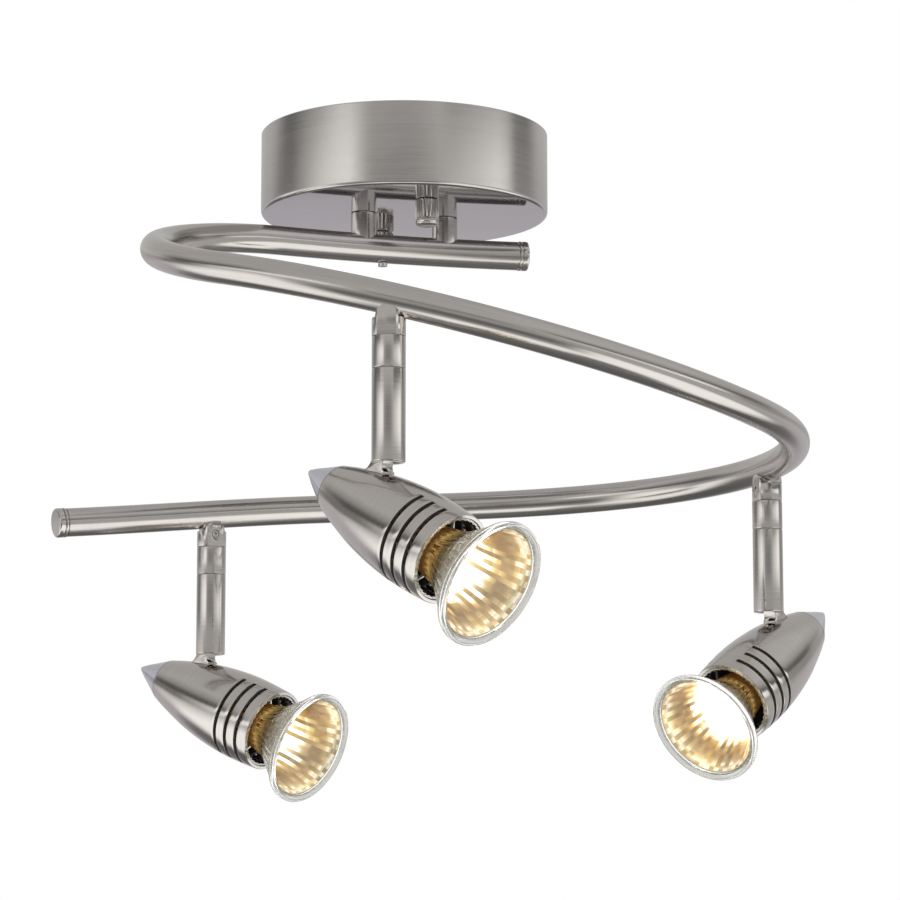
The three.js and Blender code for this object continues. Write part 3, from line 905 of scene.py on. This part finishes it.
def make_head(side, axis):
    """Bullet housing with cooling slots and near-black painted shade on its inside, polished tail cone and
    the spring crown behind the lamp.
    """
    body = side + "_head"
    outer = smooth_curve(SHELL, 5)
    inner = [(r - 1.6, z) for r, z in smooth_curve(SHELL[1:], 3)][::-1]
    front = [(18.0, 48.7), (16.9, 48.7), (16.6, 48.4)]
    profile = [(9.3, -15.9)] + outer + front + inner + [(9.3, -13)]
    housing = turned("bullet_housing_" + side, profile, axis, 128)
    slots = []
    for z in SLOT_PLACES:
        slot_low, slot_high = (-SLOT_REACH, -30, z - SLOT_HALF), (SLOT_REACH, 30, z + SLOT_HALF)
        slots.append(block("tool", slot_low, slot_high, axis))
    drilled(housing, *slots)
    softened(housing, 0.3, 2, 0.9)
    finished(housing, SATIN_ROUND, body, [side + "_housing"], 0.5)
    # The inner faces get near-black painted shade, so the slots look dark.
    housing.data.materials.append(PAINTED_SHADE_BLACK)
    for polygon in housing.data.polygons:
        x, y, z = polygon.center / MM
        if math.hypot(x, y) < shell_radius(z) - 1.1 and -12 < z < 48:
            polygon.material_index = 1

    flare = smooth_curve([(1.1, -32.1), (3.4, -28.2), (6.1, -23), (8.1, -19.3), (9.75, -16.1)], 5)
    tail = [(0, -32.7), (0.6, -32.6), (1.1, -32.1)] + flare + [(8, -16.1), (8, -12), (0, -12)]
    cone = turned("tail_cone_" + side, tail, axis, 96)
    finished(cone, POLISHED, body, [side + "_tail_cone"])

    ring = [(16.5, 47.4), (16.5, 48.1), (15.9, 48.1), (15.9, 47.4)]
    crown = turned("spring_crown_" + side, ring, axis, 96)
    for k in range(CROWN_FINS):
        turn = axis @ Matrix.Rotation(2 * math.pi * k / CROWN_FINS, 4, "Z")
        fin = block("fin", (15.6, -0.5, 38.6), (16.35, 0.5, 48.1), turn)
        join_into(crown, fin)
    finished(crown, BARE_STEEL, body, [side + "_retaining_ring"])


def join_into(target, other):
    """other's mesh joins target's, in target's own frame."""
    shift = target.matrix_world.inverted() @ other.matrix_world
    bm = bmesh.new()
    bm.from_mesh(target.data)
    extra = other.data.copy()
    extra.transform(shift)
    bm.from_mesh(extra)
    bm.to_mesh(target.data)
    bm.free()
    bpy.data.objects.remove(other, do_unlink=True)


# ---- Lamps ----

# Inside of the glass reflector, from the neck out to the rim.
CUP = (
    (4.2, 41),
    (6.5, 43),
    (8.6, 46),
    (10.6, 50),
    (12.4, 53.8),
    (14.6, 57.5),
    (17, 61.5),
    (19.2, 65.3),
    (21.4, 69.2),
)
RIM_BACK = RIM_FRONT - RIM_DEPTH
FLUTE_DEPTH = 0.18


def make_glass(side, axis):
    """Glass reflector with a fluted outside, and its moulded rim with a groove."""
    body = side + "_lamp"

    def flutes(k, r, z):
        if 40 < z < 67 and r > 8:
            return r + FLUTE_DEPTH * (1 if k % 4 < 2 else -1)
        return r

    flare = [(8.5, 28.3), (9.2, 33), (10, 40), (11, 46), (12.4, 51), (14.6, 55.5)]
    flare += [(17.7, 60), (20.8, 64.5), (23.2, RIM_BACK)]
    outside = [(0, 28.3), (8.5, 28.3)] + smooth_curve(flare, 4)
    bowl = list(CUP[::-1]) + [(0, 40.2)]
    glass = turned("glass_reflector_" + side, outside + [(22.0, RIM_BACK)] + bowl, axis, 128, flutes)
    finished(glass, GLASS, body, [side + "_lamp_reflector"], 0.4)

    flange = rounded(
        [
            (21.9, RIM_BACK + 0.05),
            (RIM_RADIUS, RIM_BACK + 0.05, 0.8),
            (RIM_RADIUS, RIM_FRONT, 0.9),
            (24.1, RIM_FRONT, 0.1),
            (23.95, RIM_FRONT - 1.1, 0.1),
            (23.7, RIM_FRONT, 0.1),
            (22.7, RIM_FRONT, 0.3),
            (22.7, RIM_FRONT - 2.0, 0),
            (21.9, RIM_FRONT - 2.0, 0),
        ],
        4,
    )
    rim = turned("glass_rim_" + side, flange, axis, 128)
    finished(rim, RIM_GLASS, body, sharp=0.4)


def make_mirror_coat(side, axis):
    """Inner mirror coat: rings of flat facets that line up into radial ribs, in shape and in the painted
    glow that each facet's value shifts.
    """
    columns = COAT_COLUMNS
    rows = smooth_curve(CUP, 2)
    verts, faces, shades = [], [], []
    chance = random.Random(COAT_SEED)
    # Each facet's value moves its painted glow and its tint along the depth bands, and sets its roughness.
    ribs = [0.5 * (k % 2) + 0.5 * chance.random() for k in range(columns)]
    for thickness in (0, COAT_THICKNESS):
        for r, z in rows:
            for k in range(columns):
                angle = 2 * math.pi * k / columns
                radius = r - 0.4 + thickness + 0.1 * (k % 2)
                verts.append((radius * math.cos(angle), radius * math.sin(angle), z - thickness))
    layer = len(rows) * columns
    for j in range(len(rows) - 1):
        for k in range(columns):
            a, b = j * columns + k, j * columns + (k + 1) % columns
            face = (a, b, b + columns, a + columns)
            faces += [face, tuple(layer + v for v in face[::-1])]
            shades += [0.68 * ribs[k] + 0.32 * chance.random()] * 2
    for j in (0, len(rows) - 1):
        for k in range(columns):
            a, b = j * columns + k, j * columns + (k + 1) % columns
            faces.append((a, b, b + layer, a + layer) if j else (b, a, a + layer, b + layer))
            shades.append(0.5)
    mesh = bpy.data.meshes.new("mirror_coat_" + side)
    mesh.from_pydata([Vector(v) * MM for v in verts], [], faces)
    facet = mesh.attributes.new("facet", "FLOAT", "FACE")
    for i, shade in enumerate(shades):
        facet.data[i].value = shade - 0.5
    coat = bpy.data.objects.new("mirror_coat_" + side, mesh)
    bpy.context.scene.collection.objects.link(coat)
    coat.matrix_world = axis
    finished(coat, MIRROR, side + "_lamp", sharp=0.02)
    mesh.materials.append(FOIL)
    for polygon in mesh.polygons:
        if min(polygon.vertices) >= layer:
            polygon.material_index = 1


def make_lamp_inside(side, axis):
    """Cemented neck, front glass and burner capsule."""
    body = side + "_lamp"
    neck_outside = [(0, 29), (7.6, 29), (8.2, 33), (9, 40), (9.6, 45)]
    neck_profile = neck_outside + [(9.3, 45), (8.7, 40), (7.9, 33.4), (0, 32.0)]
    neck = turned("lamp_neck_" + side, neck_profile, axis, 48)
    finished(neck, AMBER_PAINTED_GLOW, body, sharp=0.4)

    low = RIM_FRONT - 1.75
    lens_profile = [(0, low), (22.5, low), (22.5, RIM_FRONT - 0.7), (21.8, RIM_FRONT - 0.45)]
    lens_profile += [(0, RIM_FRONT - 0.3)]
    lens = turned("front_glass_" + side, lens_profile, axis, 96)
    finished(lens, LENS_GLASS, body, [side + "_lamp_lens"])

    bulb = [(0, 41.2), (2.8, 42), (3.2, 44), (3.2, 49), (2.2, 51.4), (0.9, 52.2), (0, 52.3)]
    capsule = turned("burner_capsule_" + side, smooth_curve(bulb, 4), axis, 32)
    finished(capsule, HOT, body, [side + "_lamp_capsule"])


def make_all():
    """Every piece, from the canopy down to the lamps."""
    make_canopy()
    make_thumb_nut("front", -1)
    make_thumb_nut("rear", 1)
    make_post("left", -1)
    make_post("right", 1)
    make_tube()
    make_end_cap("upper", CAP_LENGTH, -1)
    make_end_cap("lower", TUBE_LENGTH - CAP_LENGTH, 1)
    for side, (distance, heading, tilt_angle) in ARMS.items():
        make_neck(side, distance)
        pivot = make_collar_and_stem(side, distance, heading)
        tilt = pivot @ Matrix.Rotation(math.radians(tilt_angle), 4, "Y")
        axis = tilt @ Matrix.Translation((0, 0, -HEAD_DROP * MM)) @ Z_TO_X
        make_tongue(side, tilt)
        make_head(side, axis)
        make_glass(side, axis)
        make_mirror_coat(side, axis)
        make_lamp_inside(side, axis)


# ---- CAD solids that keep their shape and take a finish ----

KEPT_FINISHES = {
    "mounting_bracket": ZINC_PLATE,
    "front_stud": BARE_STEEL,
    "rear_stud": BARE_STEEL,
    "tube_screw": BARE_STEEL,
    "earth_screw": BRASS,
    "terminal_block": TERMINAL,
    "left_post_nut": ZINC_PLATE,
    "right_post_nut": ZINC_PLATE,
}
for side_name in ARMS:
    KEPT_FINISHES[side_name + "_lampholder"] = CERAMIC
    KEPT_FINISHES[side_name + "_lamp_base"] = CERAMIC


def paint_kept_nodes():
    """The finishes of the CAD solids that stay visible."""
    for name, material in KEPT_FINISHES.items():
        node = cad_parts[name]
        node.data.materials.clear()
        node.data.materials.append(material)


# ---- Studio ----

VIEW_TURN = math.radians(17.3)
CAMERA_SPOT = (-0.3964, -1.3408, -0.3511)
CAMERA_PITCH = 0.149
CAMERA_LENS = 128.9
SENSOR_WIDTH = 36
FLOOR_HEIGHT = -0.75
FLOOR_HALF = 30000
LIGHTS_AIM = (0, 0, -0.15)
SOFTBOXES = (
    ("key_softbox", (-1.6, -1.4, 0.9), 1.6, 14),
    ("fill_softbox", (1.6, -1.0, 0.7), 1.6, 10),
    ("overhead_softbox", (0.0, 0.0, 2.4), 4.0, 120),
)
# What each side of the room shows, from straight down to straight up: (angle, brightness or colour).
FRONT_COLUMN = (
    (-90, 0.25),
    (-78, 0.3),
    (-71, 1.3),
    (-54, 1.3),
    (-46, 0.45),
    (-38, 0.3),
    (-26, 0.14),
    (-17, 0.2),
    (-8, 0.42),
    (20, 0.55),
    (90, 0.48),
)
BACK_COLUMN = (
    (-90, 0.2),
    (-40, 0.13),
    (-22, 0.2),
    (-15, (0.54, 0.51, 0.53)),
    (0, (0.58, 0.55, 0.57)),
    (12, 0.6),
    (35, 0.5),
    (90, 0.46),
)
LEFT_COLUMN = (
    (-90, 0.2),
    (-72, 0.2),
    (-62, 0.5),
    (-54, 1.25),
    (-14, 1.3),
    (-4, 0.95),
    (4, 0.5),
    (11, 0.1),
    (20, 0.12),
    (27, 0.36),
    (38, 0.53),
    (90, 0.48),
)
RIGHT_COLUMN = (
    (-90, 0.2),
    (-66, 0.25),
    (-57, 1.35),
    (-24, 1.35),
    (-18, 0.5),
    (-4, 0.55),
    (4, 0.4),
    (11, 0.12),
    (19, 0.16),
    (26, 0.45),
    (38, 0.6),
    (90, 0.5),
)
WALL_HEIGHTS = ((3, 0), (5, 1), (12, 1), (15, 0))
# Walls round the room: (bearing from the camera's side, brightness).
WALLS = (
    (-180, 0.5),
    (-132, 0.45),
    (-118, 0.22),
    (-98, 0.24),
    (-84, 0.62),
    (-66, 1.15),
    (-42, 1.35),
    (-35, 0.85),
    (-26, 0.34),
    (-6, 0.25),
    (10, 0.28),
    (22, 0.42),
    (40, 0.78),
    (60, 1.05),
    (80, 1.35),
    (90, 1.15),
    (100, 0.36),
    (120, 0.34),
    (136, 0.45),
    (180, 0.5),
)
FRONT_REACH = ((-70, 0), (-45, 1), (45, 1), (70, 0))
LEFT_REACH = ((-124, 0), (-108, 1), (-68, 1), (-52, 0))
RIGHT_REACH = ((28, 0), (40, 1), (116, 1), (134, 0))


def make_camera():
    """The camera, a little below the fixture and looking slightly up."""
    lens = bpy.data.cameras.new("camera")
    lens.lens = CAMERA_LENS
    lens.sensor_width = SENSOR_WIDTH
    lens.clip_end = 100
    camera = bpy.data.objects.new("camera", lens)
    bpy.context.scene.collection.objects.link(camera)
    level = math.cos(CAMERA_PITCH)
    sight = Vector((math.sin(VIEW_TURN) * level, math.cos(VIEW_TURN) * level, math.sin(CAMERA_PITCH)))
    camera.location = CAMERA_SPOT
    camera.rotation_euler = sight.to_track_quat("-Z", "Y").to_euler()
    bpy.context.scene.camera = camera
    bpy.context.scene.view_settings.view_transform = "Standard"


def make_floor():
    """Pale matt floor, far below the fixture and not mirrored in its metal."""
    corners = [(x * FLOOR_HALF, y * FLOOR_HALF, 0) for x, y in ((-1, -1), (1, -1), (1, 1), (-1, 1))]
    place = Matrix.Translation((0, 0, FLOOR_HEIGHT))
    floor = raw_object("studio_floor", corners, [(0, 1, 2, 3)], place)
    material, nodes, link, shader = new_material("pale_floor")
    mottle = nodes.new("ShaderNodeTexNoise")
    mottle.inputs["Scale"].default_value = 3
    pale = ramp(nodes, link, mottle.outputs["Fac"], ((0, (0.9, 0.9, 0.9)), (1, (0.93, 0.93, 0.93))))
    link(pale, shader.inputs["Base Color"])
    shader.inputs["Roughness"].default_value = 0.8
    floor.data.materials.append(material)
    floor.visible_glossy = False


def tone(value):
    """A colour as it is, or a slightly warm grey of the given brightness."""
    return value if isinstance(value, tuple) else (value, value * 0.985, value * 0.965)


def make_world():
    """Soft boxes left and right of the camera, a grey ceiling, a bright table below and a white surround."""
    world = bpy.data.worlds.new("studio")
    world.use_nodes = True
    bpy.context.scene.world = world
    nodes, link = world.node_tree.nodes, world.node_tree.links.new
    nodes.clear()
    place = nodes.new("ShaderNodeTexCoord")
    parts = []
    toward = (-math.sin(VIEW_TURN), -math.cos(VIEW_TURN), 0)
    right = (math.cos(VIEW_TURN), -math.sin(VIEW_TURN), 0)
    for line in (toward, right, (0, 0, 1)):
        dot = nodes.new("ShaderNodeVectorMath")
        dot.operation = "DOT_PRODUCT"
        dot.inputs[1].default_value = line
        link(place.outputs["Generated"], dot.inputs[0])
        parts.append(dot.outputs["Value"])
    bearing = nodes.new("ShaderNodeMath")
    bearing.operation = "ARCTAN2"
    link(parts[1], bearing.inputs[0])
    link(parts[0], bearing.inputs[1])
    round_room = ranged(nodes, link, bearing.outputs["Value"], 0, 1, -math.pi, math.pi)
    rise = nodes.new("ShaderNodeMath")
    rise.operation = "ARCSINE"
    link(parts[2], rise.inputs[0])
    up = ranged(nodes, link, rise.outputs["Value"], 0, 1, -math.pi / 2, math.pi / 2)

    def column(stops):
        """What stands in one direction, from straight down to straight up."""
        return ramp(nodes, link, up, [(0.5 + angle / 180, tone(shade)) for angle, shade in stops])

    def weighted(value, turn, stops):
        """A mask over height or over bearing; turn is the whole angle that value covers."""
        return ramp(nodes, link, value, [(0.5 + angle / turn, (weight,) * 3) for angle, weight in stops])

    def blended(factor, first, second):
        node = nodes.new("ShaderNodeMix")
        node.data_type = "RGBA"
        link(factor, node.inputs["Factor"])
        link(first, node.inputs["A"])
        link(second, node.inputs["B"])
        return node.outputs["Result"]

    walls = ramp(nodes, link, round_room, [(0.5 + angle / 360, tone(shade)) for angle, shade in WALLS])
    room = blended(weighted(round_room, 360, FRONT_REACH), column(BACK_COLUMN), column(FRONT_COLUMN))
    room = blended(weighted(round_room, 360, LEFT_REACH), room, column(LEFT_COLUMN))
    room = blended(weighted(round_room, 360, RIGHT_REACH), room, column(RIGHT_COLUMN))
    room = blended(weighted(up, 180, WALL_HEIGHTS), room, walls)
    studio = nodes.new("ShaderNodeBackground")
    link(room, studio.inputs["Color"])
    plain = nodes.new("ShaderNodeBackground")
    plain.inputs["Color"].default_value = (1, 1, 1, 1)
    path = nodes.new("ShaderNodeLightPath")
    choice = nodes.new("ShaderNodeMixShader")
    link(path.outputs["Is Camera Ray"], choice.inputs["Fac"])
    link(studio.outputs["Background"], choice.inputs[1])
    link(plain.outputs["Background"], choice.inputs[2])
    out = nodes.new("ShaderNodeOutputWorld")
    link(choice.outputs["Shader"], out.inputs["Surface"])


def make_lights():
    """Large soft lights that no metal mirrors."""
    for name, spot, size, power in SOFTBOXES:
        lamp = bpy.data.lights.new(name, "AREA")
        lamp.size = size
        lamp.energy = power
        light = bpy.data.objects.new(name, lamp)
        bpy.context.scene.collection.objects.link(light)
        light.location = spot
        light.visible_glossy = False
        sight = Vector(LIGHTS_AIM) - Vector(spot)
        light.rotation_euler = sight.to_track_quat("-Z", "Y").to_euler()


make_camera()
make_all()
paint_kept_nodes()
make_floor()
make_world()
make_lights()
